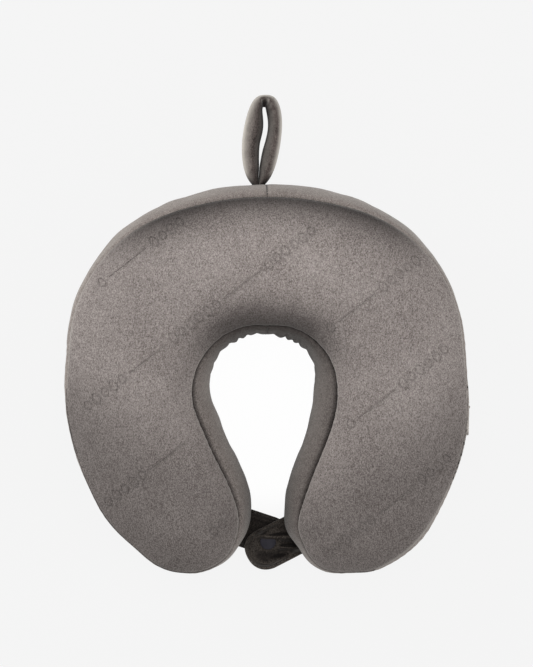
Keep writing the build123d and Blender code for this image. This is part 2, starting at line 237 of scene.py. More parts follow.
def base_grid(count):
    """The un-simulated cover as a (rows, columns, 3) grid in millimetres."""
    points, normals, fold = outline(count)
    step = 2 * HALF_LENGTH / count
    depth = spine_depth(points, normals, 7.0 / step)
    inset_top = smooth_loop(seam_inset(fold), 10.0 / step)
    inset_bottom = 0.5 * inset_top + 3.0
    grid = np.zeros((len(ROWS), count, 3))
    for k, (part, side, v) in enumerate(ROWS):
        seam_z = TOP_SEAM if side > 0 else -BOTTOM_SEAM
        inset = inset_top if side > 0 else inset_bottom
        crown = 2.6 if side > 0 else 4.0
        if part == "gusset":
            d = inset * v**2.3
            z = np.full(count, seam_z * v)
        else:
            d = inset + (depth - inset) * v
            z = seam_z + (HALF - seam_z) * (1 - (1 - v) ** crown) * np.ones(count)
        grid[k, :, :2] = points - normals * d[:, None]
        grid[k, :, 2] = HALF + side * z
    return grid


def new_object(name, data):
    """A new object in the scene."""
    obj = bpy.data.objects.new(name, data)
    bpy.context.scene.collection.objects.link(obj)
    return obj


def mesh_object(name, verts_mm, faces):
    """A new smooth mesh object from millimetre points."""
    mesh = bpy.data.meshes.new(name)
    mesh.from_pydata((np.asarray(verts_mm) * MM).tolist(), [], faces)
    mesh.validate()
    mesh.update()
    mesh.polygons.foreach_set("use_smooth", [True] * len(mesh.polygons))
    return new_object(name, mesh)


def grid_faces(rows, cols, wrap=True, keep=None, ring=False):
    """Quads of a grid whose columns go round, and rows too with ring; keep(row, col) may leave some out."""
    faces = []
    for r in range(rows if ring else rows - 1):
        here, above = r * cols, (r + 1) % rows * cols
        for c in range(cols if wrap else cols - 1):
            if keep is None or keep(r, c):
                d = (c + 1) % cols
                faces.append((here + c, above + c, above + d, here + d))
    return faces


def tube_faces(rings, around, first=0):
    """Faces of a tube with closed ends, whose first vertex is first."""
    faces = grid_faces(rings, around)
    faces += [range(around), range(rings * around - 1, (rings - 1) * around - 1, -1)]
    return [tuple(first + i for i in face) for face in faces]


def spine_faces(grid, row, up):
    """Triangles that close the narrow gap along the roll's spine, zipped up from the right tip."""
    cols = grid.shape[1]
    ring = grid[row, :, :2]
    tip = round(cols * (TIP_START + STRAIGHT_START) / (4 * HALF_LENGTH))
    outer, inner = tip, tip + 1
    faces = []
    while inner - outer < cols - 1:
        step_out = np.linalg.norm(ring[(outer - 1) % cols] - ring[inner % cols])
        step_in = np.linalg.norm(ring[outer % cols] - ring[(inner + 1) % cols])
        if step_out <= step_in:
            tri = (outer - 1, outer, inner)
            outer -= 1
        else:
            tri = (outer, inner, inner + 1)
            inner += 1
        tri = [i % cols for i in tri]
        first = ring[tri[1]] - ring[tri[0]]
        second = ring[tri[2]] - ring[tri[0]]
        anticlockwise = first[0] * second[1] - first[1] * second[0] > 0
        if anticlockwise != up:
            tri.reverse()
        faces.append(tuple(row * cols + i for i in tri))
    return faces


def recalculated(obj):
    """Turns every face of a closed piece outwards."""
    bm = bmesh.new()
    bm.from_mesh(obj.data)
    bmesh.ops.recalc_face_normals(bm, faces=bm.faces)
    bm.to_mesh(obj.data)
    bm.free()
    return obj


def closed_body(name, grid):
    """The whole cover grid as one closed mesh."""
    faces = grid_faces(grid.shape[0], grid.shape[1])
    faces += spine_faces(grid, 0, False) + spine_faces(grid, grid.shape[0] - 1, True)
    return recalculated(mesh_object(name, grid.reshape(-1, 3), faces))


def evaluated_copy(obj):
    """obj with its modifiers applied, as a new mesh."""
    graph = bpy.context.evaluated_depsgraph_get()
    return bpy.data.meshes.new_from_object(obj.evaluated_get(graph))


def rounded(obj):
    """Rounds a piece off with one level of subdivision."""
    sub = obj.modifiers.new("round", "SUBSURF")
    sub.levels = sub.render_levels = 1
    return obj


def lengths_along(path):
    """Path length at each point of a path."""
    return np.concatenate([[0], np.cumsum(np.linalg.norm(np.diff(path, axis=0), axis=1))])


def resampled(path, run, at):
    """The path's points at the lengths at, where run is lengths_along(path)."""
    return np.stack([np.interp(at, run, column) for column in path.T], axis=1)


# ---------------------------------------------------------------- materials
class Nodes:
    """Small helper that builds a material's node tree."""

    def __init__(self, name):
        self.material = bpy.data.materials.new(name)
        self.material.use_nodes = True
        self.tree = self.material.node_tree
        self.bsdf = self.tree.nodes["Principled BSDF"]
        self.coords = self.tree.nodes.new("ShaderNodeTexCoord").outputs["Object"]

    def feed(self, socket, value):
        """Links a socket or sets a plain value."""
        if isinstance(value, bpy.types.NodeSocket):
            self.tree.links.new(value, socket)
        else:
            socket.default_value = value

    def node(self, kind, inputs=None, **settings):
        """Adds a node with its own settings, feeds its inputs by name or number and returns its outputs."""
        node = self.tree.nodes.new("ShaderNode" + kind)
        for key, value in settings.items():
            setattr(node, key, value)
        for key, value in (inputs or {}).items():
            self.feed(node.inputs[key], value)
        return node.outputs

    def noise(self, scale, stretch=(1, 1, 1), detail=2.0, rough=0.5, distortion=0.0):
        place = self.node("Mapping", {"Vector": self.coords, "Scale": stretch})["Vector"]
        return self.node("TexNoise", {"Vector": place, "Scale": scale, "Detail": detail, "Roughness": rough,
                                      "Distortion": distortion})["Fac"]

    def wave(self, direction, scale, distortion):
        inputs = {"Vector": self.coords, "Scale": scale, "Distortion": distortion}
        return self.node("TexWave", inputs, bands_direction=direction)["Fac"]

    def math(self, op, a, b=None, clamp=False):
        return self.node("Math", {0: a} if b is None else {0: a, 1: b}, operation=op, use_clamp=clamp)[0]

    def ramp(self, value, low, high, to_low=0.0, to_high=1.0):
        inputs = {"Value": value, "From Min": low, "From Max": high, "To Min": to_low, "To Max": to_high}
        return self.node("MapRange", inputs, interpolation_type="SMOOTHSTEP")["Result"]

    def mix(self, fac, a, b):
        # A colour mix takes its two colours on inputs 6 and 7 and gives the result on output 2.
        return self.node("Mix", {0: fac, 6: a, 7: b}, data_type="RGBA")[2]

    def bump(self, height, strength, distance, normal=None):
        inputs = {"Strength": strength, "Distance": distance, "Height": height}
        if normal is not None:
            inputs["Normal"] = normal
        return self.node("Bump", inputs)["Normal"]

    def surface(self, colour, rough, normal, more=None):
        """Feeds the surface shader and returns the finished material."""
        inputs = {"Base Color": colour, "Roughness": rough, "Normal": normal, **(more or {})}
        for key, value in inputs.items():
            self.feed(self.bsdf.inputs[key], value)
        return self.material


def rgb(*values):
    """Linear colour from sRGB values of 0 to 255."""
    shares = [v / 255.0 for v in values]
    return (*(c / 12.92 if c <= 0.04045 else ((c + 0.055) / 1.055) ** 2.4 for c in shares), 1.0)


# Colours that painted shade and painted light are mixed towards.
PAINTED_SHADE_COLOUR = (0.010, 0.008, 0.008, 1.0)
PAINTED_LIGHT_COLOUR = (0.46, 0.43, 0.39, 1.0)
SHEEN_TINT = (0.93, 0.92, 0.88, 1.0)
# Painted shade darkens the arms' tips; away from the pillow's middle the shade starts sooner. Metres towards
# -Y.
TIPS_MIDDLE = 0.010
TIPS_SLANT = 0.55
TIPS_SHADE = (((-0.02, 0.1), 0.4), ((0.145, 0.225), 1.0))
# Name of the mesh value that holds painted shade.
SHADE_ATTRIBUTE = "painted_shade"


def velour(name, light, dark, fold_shade=0.0, left_light=0.0, rim=0.35, rim_range=(0.3, 0.98), grain=1.0,
           tip_shade=0.0, hollow=7.0, open_at=0.85, patchy=0.03):
    """Short-pile velour.

    Fine mottled pile, with light and shade painted into its colour. Painted shade where the mesh's
    painted_shade value says, on folds that run along X (fold_shade), towards the arms' tips (tip_shade) and
    in creases up to hollow millimetres deep; painted light where it faces left (left_light) and a painted
    sheen where it is seen edge on (rim).
    """
    n = Nodes(name)
    tufts = n.noise(1250.0, (1.0, 0.66, 1.0), 3.0, 0.68, 0.5)
    fine = n.noise(2300.0, (1.0, 0.7, 1.0), 2.0, 0.6)
    patches = n.noise(70.0, (1.0, 0.8, 1.0), 2.0, 0.5, 0.8)
    strokes_wide = n.noise(14.0, (1.0, 1.0, 1.0), 1.0, 0.5, 0.5)
    strokes = n.noise(520.0, (1.0, 0.34, 1.0), 2.0, 0.6, 1.2)
    pile = n.math("ADD", n.math("MULTIPLY", tufts, 0.6), n.math("MULTIPLY", fine, 0.25))
    pile = n.math("ADD", pile, n.math("MULTIPLY", strokes, 0.15))
    tone = n.ramp(pile, 0.37, 0.63, 0.5 - 0.5 * grain, 0.5 + 0.5 * grain)
    tone = n.math("ADD", tone, n.ramp(patches, 0.3, 0.7, -patchy, patchy))
    tone = n.math("ADD", tone, n.ramp(strokes_wide, 0.3, 0.7, -0.06, 0.06), clamp=True)
    colour = n.mix(tone, dark, light)
    facing = n.node("SeparateXYZ", {0: n.node("NewGeometry")["Normal"]})
    place = n.node("SeparateXYZ", {0: n.coords})
    # Painted light on faces turned to the left.
    if left_light:
        colour = n.mix(n.ramp(facing["X"], 0.3, -0.9, 0.0, left_light), colour, PAINTED_LIGHT_COLOUR)
    # Painted shade on slopes that face along Y, as on folds that run along X.
    if fold_shade:
        across = n.math("MULTIPLY", n.math("ABSOLUTE", facing["X"]), 0.7)
        lean = n.math("SUBTRACT", n.math("ABSOLUTE", facing["Y"]), across)
        lean = n.math("MULTIPLY", lean, n.math("ABSOLUTE", facing["Z"]))
        colour = n.mix(n.ramp(lean, 0.1, 0.42, 0.0, fold_shade), colour, PAINTED_SHADE_COLOUR)
    # Painted shade towards the arms' tips.
    if tip_shade:
        sideways = n.math("ABSOLUTE", n.math("SUBTRACT", place["X"], TIPS_MIDDLE))
        down = n.math("SUBTRACT", n.math("MULTIPLY", sideways, TIPS_SLANT), place["Y"])
        for (start, end), share in TIPS_SHADE:
            colour = n.mix(n.ramp(down, start, end, 0.0, share * tip_shade), colour, PAINTED_SHADE_COLOUR)
    # Painted sheen: paler where the surface is seen edge on, but not in creases found by ambient occlusion.
    facing_away = n.node("LayerWeight", {"Blend": 0.5})["Facing"]
    openness = n.node("AmbientOcclusion", {"Distance": hollow * MM}, samples=8)["AO"]
    edge = n.math("MULTIPLY", n.ramp(facing_away, *rim_range, 0.0, rim), n.ramp(openness, 0.5, 0.9))
    colour = n.mix(edge, colour, PAINTED_LIGHT_COLOUR)
    # Painted shade from the value stored on the mesh.
    colour = n.mix(n.node("Attribute", attribute_name=SHADE_ATTRIBUTE)["Fac"], colour, PAINTED_SHADE_COLOUR)
    # Painted shade in creases and hollows, found by ambient occlusion.
    colour = n.mix(n.ramp(openness, 0.12, open_at), PAINTED_SHADE_COLOUR, colour)
    normal = n.bump(fine, 0.4, 0.0003, n.bump(tufts, 0.6, 0.0007))
    sheen = {"Sheen Weight": 0.2, "Sheen Roughness": 0.4, "Sheen Tint": SHEEN_TINT}
    return n.surface(colour, 0.92, normal, {"Specular IOR Level": 0.1, **sheen})


def woven(name, light, dark, pitch=0.0006):
    """Plain woven tape: two crossed rows of threads."""
    n = Nodes(name)
    weave = n.math("MULTIPLY", *(n.wave(axis, 0.16 / pitch, 0.6) for axis in ("X", "Z")))
    colour = n.mix(n.math("ADD", weave, n.noise(300.0)), dark, light)
    return n.surface(colour, 0.8, n.bump(weave, 0.5, 0.0002))


def thread_material(name, light, dark):
    """Twisted sewing thread."""
    n = Nodes(name)
    twist = n.wave("DIAGONAL", 900.0, 1.5)
    return n.surface(n.mix(twist, dark, light), 0.6, n.bump(twist, 0.4, 0.0001), {"Sheen Weight": 0.2})


def moulded(name, light, dark, rough=0.35, shine=0.5):
    """Moulded plastic: faint flow mottling, fine scratches and soft bumps."""
    n = Nodes(name)
    flow = n.noise(90.0, (1, 1, 1), 3.0, 0.6, 0.4)
    scratch = n.noise(1400.0, (1.0, 0.06, 1.0), 2.0, 0.7)
    roughness = n.ramp(scratch, 0.3, 0.8, rough - 0.08, rough + 0.2)
    colour = n.mix(n.ramp(flow, 0.3, 0.7), dark, light)
    return n.surface(colour, roughness, n.bump(scratch, 0.12, 0.0001), {"Specular IOR Level": shine})


def cast_metal(name, light, dark):
    """Painted zinc casting with worn edges."""
    n = Nodes(name)
    grain = n.noise(1200.0, (1, 1, 1), 3.0, 0.6)
    edge = n.ramp(n.node("NewGeometry")["Pointiness"], 0.52, 0.6)
    worn = n.math("ADD", edge, n.math("MULTIPLY", grain, 0.25), clamp=True)
    roughness = n.ramp(grain, 0.3, 0.7, 0.32, 0.5)
    return n.surface(n.mix(worn, dark, light), roughness, n.bump(grain, 0.15, 0.0001), {"Metallic": 0.75})


def foam_material(name, light, dark):
    """Open-cell foam."""
    n = Nodes(name)
    cells = n.node("TexVoronoi", {"Vector": n.coords, "Scale": 900.0})["Distance"]
    return n.surface(n.mix(cells, dark, light), 0.95, n.bump(cells, 0.6, 0.0004), {"Subsurface Weight": 0.1})


# The panels and the embossed ridges get painted shade towards the arms' tips.
M_PANEL = velour("velour", rgb(164, 156, 152), rgb(96, 88, 85), tip_shade=0.4, open_at=0.92)
M_EMBOSS = velour("embossed_velour", rgb(157, 149, 145), rgb(90, 82, 79), tip_shade=0.4, hollow=2.0)
# The gussets' colours are a little darker than the panel's and their creases reach 70 mm: painted shade on
# the walls of the neck opening.
M_GUSSET = velour("gusset_velour", rgb(150, 142, 137), rgb(98, 90, 86), rim=0.18, hollow=70.0, open_at=0.98)
M_WELT = velour("welt_velour", rgb(118, 110, 105), rgb(84, 76, 72), grain=0.7, hollow=3.0)
# The loop gets painted light on faces turned left and a strong painted sheen where it is seen edge on.
M_LOOP = velour("loop_velour", rgb(104, 95, 91), rgb(46, 40, 38), left_light=0.32, patchy=0.14, rim=0.95,
                rim_range=(0.05, 0.7), hollow=14.0, open_at=0.97)
# The straps get painted shade on slopes facing along Y and a painted sheen at their edges.
M_STRAP = velour("strap_velour", rgb(98, 91, 84), rgb(30, 26, 24), fold_shade=0.9, rim=0.4,
                 rim_range=(0.06, 0.6), hollow=9.0, open_at=0.98)
M_SEAM = thread_material("seam_thread", rgb(52, 45, 43), rgb(20, 16, 15))
M_STRAP_SEAM = thread_material("strap_thread", rgb(52, 47, 44), rgb(20, 18, 17))
M_TAPE = woven("zip_tape", rgb(112, 103, 98), rgb(70, 63, 60))
M_COIL = moulded("zip_nylon", rgb(108, 100, 96), rgb(84, 77, 74), 0.38)
M_METAL = cast_metal("zip_metal", rgb(170, 164, 158), rgb(98, 91, 87))
M_SNAP = moulded("snap_plastic", rgb(52, 50, 58), rgb(39, 38, 46), 0.6, 0.2)
M_FOAM = foam_material("foam", rgb(240, 234, 212), rgb(214, 204, 176))
M_LINER = woven("liner_jersey", rgb(240, 240, 236), rgb(214, 214, 210), 0.0009)


def dress(obj, material):
    """Puts one material on a piece."""
    obj.data.materials.clear()
    obj.data.materials.append(material)


def finish_piece(obj, body, material, slot, *replaced):
    """Material, body, record slot (not used), and the CAD nodes that the piece stands for."""
    dress(obj, material)
    if body:
        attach(obj, body)
    if replaced:
        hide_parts(*replaced)
    return obj


# ---------------------------------------------------------------- cover: simulate, then detail
def grid_normals(grid):
    """Outward unit normals of the cover grid."""
    along = np.roll(grid, -1, axis=1) - np.roll(grid, 1, axis=1)
    up = np.zeros_like(grid)
    up[1:-1] = grid[2:] - grid[:-2]
    up[0] = grid[1] - grid[0]
    up[-1] = grid[-1] - grid[-2]
    normal = np.cross(up, along)
    size = np.linalg.norm(normal, axis=2, keepdims=True)
    return normal / np.maximum(size, 1e-9)


# The cloth starts this far inside the base shape and may move SIM_CAP; FOLD_SHARE of its folds shorter than
# about FOLD_REACH is kept. Millimetres.
SIM_START_INSET = 2.5
SIM_VOXEL = 5.5
SIM_CAP = 8.0
SIM_FRAMES = 20
SEAM_SPREAD = 7.0
FOLD_SHARE = 0.35
FOLD_REACH = 16.0
RAY_REACH = 14.0
CLOTH = {
    "quality": 6, "mass": 0.12, "tension_stiffness": 12, "compression_stiffness": 12, "shear_stiffness": 4,
    "bending_stiffness": 0.25, "use_pressure": True, "uniform_pressure_force": 4.0,
    "vertex_group_shrink": "seam", "shrink_min": -0.035, "shrink_max": 0.055,
}


def seam_distance(points, grid):
    """Distance of each point from the nearest seam of the cover."""
    nape = grid.shape[1] // 2
    seams = [grid[ROW_TOP_SEAM], grid[ROW_BOTTOM_SEAM]]
    seams += [grid[ROW_BOTTOM_SEAM : ROW_TOP_SEAM + 1, c] for c in (0, nape)]
    line = np.concatenate(seams)
    out = np.zeros(len(points))
    for i in range(0, len(points), 2000):
        block = points[i : i + 2000]
        out[i : i + 2000] = np.sqrt(((block[:, None] - line[None]) ** 2).sum(2)).min(1)
    return out


def inflate_cover():
    """Blows the velour cover up as cloth over the foam's shape and returns its surface as a search tree."""
    grid = base_grid(SIM_COLUMNS)
    start = grid - grid_normals(grid) * SIM_START_INSET
    blank = closed_body("sim_blank", start)
    remesh = blank.modifiers.new("remesh", "REMESH")
    remesh.mode = "VOXEL"
    remesh.voxel_size = SIM_VOXEL * MM
    mesh = evaluated_copy(blank)
    cloth_obj = new_object("sim_cloth", mesh)
    before = np.array([v.co for v in mesh.vertices]) / MM
    group = cloth_obj.vertex_groups.new(name="seam")
    for i, weight in enumerate(bell(seam_distance(before, start), SEAM_SPREAD)):
        group.add([i], float(weight), "REPLACE")
    cloth = cloth_obj.modifiers.new("cloth", "CLOTH")
    for key, value in CLOTH.items():
        setattr(cloth.settings, key, value)
    cloth.settings.effector_weights.gravity = 0.0
    cloth.point_cache.frame_start = 1
    cloth.point_cache.frame_end = SIM_FRAMES
    for frame_number in range(1, SIM_FRAMES + 1):
        bpy.context.scene.frame_set(frame_number)
    settled = evaluated_copy(cloth_obj)
    move = np.array([v.co for v in settled.vertices]) / MM - before
    size = np.linalg.norm(move, axis=1, keepdims=True)
    move *= np.minimum(1.0, SIM_CAP / np.maximum(size, 1e-6))
    settled.vertices.foreach_set("co", ((before + move) * MM).astype(np.float32).ravel())
    final = new_object("sim_final", settled)
    final.modifiers.new("smooth", "SUBSURF").levels = 1
    bpy.context.view_layer.update()
    tree = BVHTree.FromObject(final, bpy.context.evaluated_depsgraph_get())
    bpy.context.scene.frame_set(1)
    for obj in (blank, cloth_obj, final):
        bpy.data.objects.remove(obj)
    return tree


def blur(field, sigma_rows, sigma_cols):
    """Smooths a (rows, columns) field; columns wrap."""
    out = np.array([smooth_loop(row, sigma_cols) for row in field]) if sigma_cols else field.copy()
    for _ in range(sigma_rows):
        padded = np.vstack([out[:1], out, out[-1:]])
        out = 0.25 * padded[:-2] + 0.5 * padded[1:-1] + 0.25 * padded[2:]
    return out


def cloth_offset(grid, normals):
    """How far the simulated cloth stands off the base shape at each grid point, along its normal."""
    tree = inflate_cover()
    offset = np.zeros(grid.shape[:2])
    for r, c in np.ndindex(offset.shape):
        n = Vector(normals[r, c])
        origin = Vector(grid[r, c] * MM) + n * RAY_REACH * MM
        hit = tree.ray_cast(origin, -n, 2 * RAY_REACH * MM)
        offset[r, c] = RAY_REACH - hit[3] / MM if hit[0] is not None else 0.0
    folds = blur(np.clip(offset, -SIM_CAP, SIM_CAP), 2, 2.0)
    # The outline stays as measured: only the folds are taken over, not the slow swell.
    return FOLD_SHARE * (folds - blur(folds, 0, FOLD_REACH / STEP))


def loop_noise(seed, shortest, longest, count=COLUMNS):
    """Smooth repeatable noise round the outline with wavelengths between shortest and longest millimetres."""
    rng = np.random.default_rng(seed)
    waves = 2 * HALF_LENGTH / np.maximum(np.arange(count // 2 + 1), 1)
    spectrum = rng.normal(size=len(waves)) + 1j * rng.normal(size=len(waves))
    spectrum[(waves < shortest) | (waves > longest)] = 0
    spectrum[0] = 0
    values = np.fft.irfft(spectrum, count)
    return values / values.std()


def groove_depth(fold):
    """How deeply the top seam sinks in, as a share: deep at the neck and the back, shallow outside."""
    stations = [0, 40, 75, STRAIGHT_START - 45, STRAIGHT_START - 5, HALF_LENGTH]
    return np.interp(fold, stations, [0.9, 0.85, 0.48, 0.48, 1.35, 1.2])


def arc_from_seam(grid):
    """Length along each column from the nearest long seam, negative on the gusset."""
    steps = np.linalg.norm(np.diff(grid, axis=0), axis=2)
    run = np.vstack([np.zeros(grid.shape[1]), np.cumsum(steps, axis=0)])
    from_top = run - run[ROW_TOP_SEAM]
    from_bottom = run[ROW_BOTTOM_SEAM] - run
    return from_top, from_bottom


ZIP_CENTRE = np.array(joints["zip_slide"]["pos_m"][:2]) / MM
# The zip's ends in degrees round its axis, and half heights of its slot and of the band kept on its arc.
ZIP_LOW, ZIP_HIGH = -55.5, 1.5
ZIP_SLOT = 4.6
ZIP_EDGE = 12.5
OFF_ARC = 999.0
PUCKER = 0.27
NAPE_GATHER = 2.0
NAPE_SPREAD = 48.0
NAPE_MID_HEIGHT = 46.0
SCALLOP = 8.4
REST_EDGE = 0.3
CLOTH_THICKNESS = 1.2
# Painted shade on the top panel beside the seams at the back and the neck: side, where each starts and is
# full, darkness, reach and falloff.
SEAM_SHADES = ((1, 0.48, 0.95, 0.92, 20.5, 1.6), (-1, 0.2, 0.82, 0.69, 23.5, 3.2))
SHADE_END = -120.0
SHADE_BLUR = 6.0
# Painted shade on the gussets: on the arms' walls, its change with the way they face, beside the long seams,
# on the nape's wall and at the back.
WALL_DARK = 0.27
WALL_TURN = 0.14
WALL_EDGES = 0.27
NAPE_DARK = 0.76
BACK_DARK = 0.08


def zip_angles(grid):
    """Each column's angle round the zip's axis, in degrees; columns off the zip's arc get a far value."""
    mid = grid[ROW_MID]
    to = mid[:, :2] - ZIP_CENTRE
    angle = np.degrees(np.arctan2(to[:, 1], to[:, 0]))
    radius = np.linalg.norm(to, axis=1)
    return np.where((np.abs(radius - SIDE_R) < 3.0) & (mid[:, 0] > 0), angle, OFF_ARC)


def zip_mask(base, angles):
    """1 where the cover must stay exactly on the zip's arc, fading to 0 around it."""
    off = np.clip((np.abs(base[:, :, 2] - HALF) - ZIP_EDGE) / 8.0, 0, 1)
    past = np.maximum(np.maximum(ZIP_LOW - angles, angles - ZIP_HIGH), 0)
    past = np.clip(past / 5.0, 0, 1)
    return eased(1 - np.maximum(off, past[None, :]), 0, 1)


def seam_dents(distance, seed, groove):
    """Puckers along a long seam and the roll of both its sides down into it."""
    # The panel's side and the gusset's side of a seam pucker differently.
    panel = loop_noise(seed, 5.0, 13.0)
    gusset = loop_noise(seed + 1, 5.5, 15.0)
    away = np.abs(distance)
    is_panel = distance > 0
    wave = np.where(is_panel, panel, gusset)
    reach = np.where(is_panel, 4.0, 8.5)
    puckers = PUCKER * groove * wave * np.exp(-away / reach) * (away / (away + 0.8))
    return puckers - groove * (2.7 * bell(away, 1.6) + 0.9 * bell(away, 4.5))


def detailed_cover():
    """The finished cover grid: simulated cloth, sunk seams, puckers and a resting underside."""
    base = base_grid(COLUMNS)
    normals = grid_normals(base)
    angles = zip_angles(base)
    mask = zip_mask(base, angles)
    offset = cloth_offset(base, normals)
    from_top, from_bottom = arc_from_seam(base)
    dents = seam_dents(from_top, 11, groove_depth(FOLD)) + seam_dents(from_bottom, 23, 1.0)
    # The nape's wall is gathered: round scallops of uneven width, strongest at mid height.
    uneven = RUN + 1.1 * loop_noise(41, 30.0, 90.0)
    gather = np.abs(np.sin(math.pi * uneven / SCALLOP)) ** 0.9 * (1 + 0.2 * loop_noise(43, 24.0, 60.0)) - 0.6
    strength = np.clip(1.15 - np.abs(base[:, :, 2] - NAPE_MID_HEIGHT) / 30.0, 0, 1)
    strength[:ROW_BOTTOM_SEAM] = strength[ROW_TOP_SEAM + 1 :] = 0
    dents += NAPE_GATHER * gather * bell(RUN - RUN[NAPE], NAPE_SPREAD, 4) * strength
    # The upright seams at the back and the nape sink into the gussets.
    gusset = np.clip(np.minimum(-from_top, -from_bottom) / 3.0, 0, 1)
    for away in (np.minimum(RUN, 2 * HALF_LENGTH - RUN), np.abs(RUN - RUN[NAPE])):
        dents -= gusset * (0.4 * bell(away, 1.2) + 0.1 * bell(away, 4.0))
    # Slow unevenness of the filling, away from the seams.
    soft = np.array([[noise.noise(Vector(p) / 26.0) for p in row] for row in base])
    dents += soft * (1 - np.exp(-np.minimum(np.abs(from_top), np.abs(from_bottom)) / 8.0))
    off_spine = 1 - np.clip((from_top - 12) / 30, 0, 1) - np.clip((from_bottom - 12) / 30, 0, 1)
    offset = (offset + swell()) * off_spine
    cover = base + normals * ((offset + dents) * (1 - mask))[:, :, None]
    # What would sink into the table is pressed flat on it, with a soft edge.
    z = cover[:, :, 2]
    cover[:, :, 2] = (z + np.sqrt(z * z + 4 * REST_EDGE * REST_EDGE)) / 2
    return base, normals, cover, angles, mask


def seam_shade_zone(base, normals):
    """Painted shade on the top panel beside the seams at the neck and the back, per grid point."""
    from_top = np.maximum(arc_from_seam(base)[0], 0)
    zone = np.zeros(from_top.shape)
    for sign, from_way, to_way, dark, reach, power in SEAM_SHADES:
        turned = eased(sign * normals[ROW_MID, :, 1], from_way, to_way) * (base[ROW_MID, :, 1] > SHADE_END)
        zone += dark * smooth_loop(turned, SHADE_BLUR) * bell(from_top, reach, power)
    return zone


def wall_shade_zone(base, normals):
    """Painted shade on the gussets' walls of the neck opening, per grid point."""
    facing_x, facing_y = normals[ROW_MID, :, 0], normals[ROW_MID, :, 1]
    nape = eased(-facing_y, 0.15, 0.9) * (base[ROW_MID, :, 1] > SHADE_END)
    inside = eased(FOLD, STRAIGHT_START - 80, STRAIGHT_START - 35)
    walls = inside * ((WALL_DARK - WALL_TURN * facing_x) * (1 - nape) + NAPE_DARK * nape)
    back = BACK_DARK * (1 - eased(FOLD, 130, 200))
    # The painted shade on the arms' walls is darkest beside both long seams.
    height = np.clip((base[:, :, 2] - 50) / 36, 0, 1)
    edges = WALL_EDGES * smooth_loop(inside * (1 - nape), SHADE_BLUR) * (2 * height - 1) ** 2
    return smooth_loop(walls + back, SHADE_BLUR) + edges


def set_painted_shade(obj, values):
    """Stores the painted shade of each vertex for the velour to read."""
    attribute = obj.data.attributes.new(SHADE_ATTRIBUTE, "FLOAT", "POINT")
    attribute.data.foreach_set("value", np.asarray(values, np.float32).ravel())


BASE, NORMALS, COVER, ZIP_ANGLES, ZIP_MASK = detailed_cover()


def cover_piece(node, material, slot, first, last, painted_shade=None, columns=None, keep=None):
    """One sewn piece of the cover, from row first to row last; without columns it goes all the way round."""
    block = COVER[first : last + 1]
    shade = None if painted_shade is None else painted_shade[first : last + 1]
    if columns is not None:
        block = block[:, columns]
        shade = shade[:, columns]
    faces = grid_faces(*block.shape[:2], columns is None, keep)
    if first == 0:
        faces += spine_faces(block, 0, False)
    if last == len(ROWS) - 1:
        faces += spine_faces(block, len(block) - 1, True)
    obj = mesh_object(f"{node}_velour", block.reshape(-1, 3), faces)
    if shade is not None:
        set_painted_shade(obj, shade)
    bm = bmesh.new()
    bm.from_mesh(obj.data)
    bmesh.ops.remove_doubles(bm, verts=bm.verts, dist=0.03 * MM)
    bmesh.ops.delete(bm, geom=[v for v in bm.verts if not v.link_faces], context="VERTS")
    bm.to_mesh(obj.data)
    bm.free()
    # The cloth's thickness lies inside the surface.
    solid = obj.modifiers.new("cloth_thickness", "SOLIDIFY")
    solid.thickness = CLOTH_THICKNESS * MM
    solid.offset = -1.0
    solid.use_even_offset = False
    return finish_piece(obj, "pillow", material, slot, node)


def outside_slot(row, column):
    """False for the gusset faces that the zip's slot leaves out."""
    heights = BASE[ROW_BOTTOM_SEAM + row : ROW_BOTTOM_SEAM + row + 2, column, 2] - HALF
    in_slot = max(abs(heights)) < ZIP_SLOT + 0.5
    return not (in_slot and ZIP_LOW < ZIP_ANGLES[column] < ZIP_HIGH)


WALL_SHADE = wall_shade_zone(BASE, NORMALS)
GUSSET = (M_GUSSET, "gusset_velour", ROW_BOTTOM_SEAM, ROW_TOP_SEAM, WALL_SHADE)
TOP_PANEL_SHADE = seam_shade_zone(BASE, NORMALS)
top_panel = cover_piece("top_panel", M_PANEL, "velour", ROW_TOP_SEAM, len(ROWS) - 1, TOP_PANEL_SHADE)
cover_piece("bottom_panel", M_PANEL, "velour", 0, ROW_BOTTOM_SEAM)
cover_piece("right_gusset", *GUSSET, list(range(0, NAPE + 1)), outside_slot)
cover_piece("left_gusset", *GUSSET, list(range(NAPE, COLUMNS)) + [0])


# ---------------------------------------------------------------- filling
def inner_body(name, inset, zip_inset, coarse=4):
    """A closed body inside the cover, inset from it, deeper behind the zip."""
    depth = inset + (zip_inset - inset) * ZIP_MASK
    inner = COVER - NORMALS * depth[:, :, None]
    inner = blur_grid(inner)[:, ::coarse]
    return closed_body(name, inner)


def blur_grid(grid):
    """Softens the cover's dents for what lies under it."""
    return np.stack([blur(grid[:, :, k], 1, 4.0) for k in range(3)], axis=2)


liner = inner_body("foam_liner_jersey", 2.6, 5.2)
finish_piece(liner, "pillow", M_LINER, "liner_jersey", "foam_liner")
foam = inner_body("foam_core_block", 3.8, 6.6)
finish_piece(foam, "pillow", M_FOAM, "foam", "foam_core")


# ---------------------------------------------------------------- stitching
STITCH_SIDES, STITCH_RINGS = 6, 6


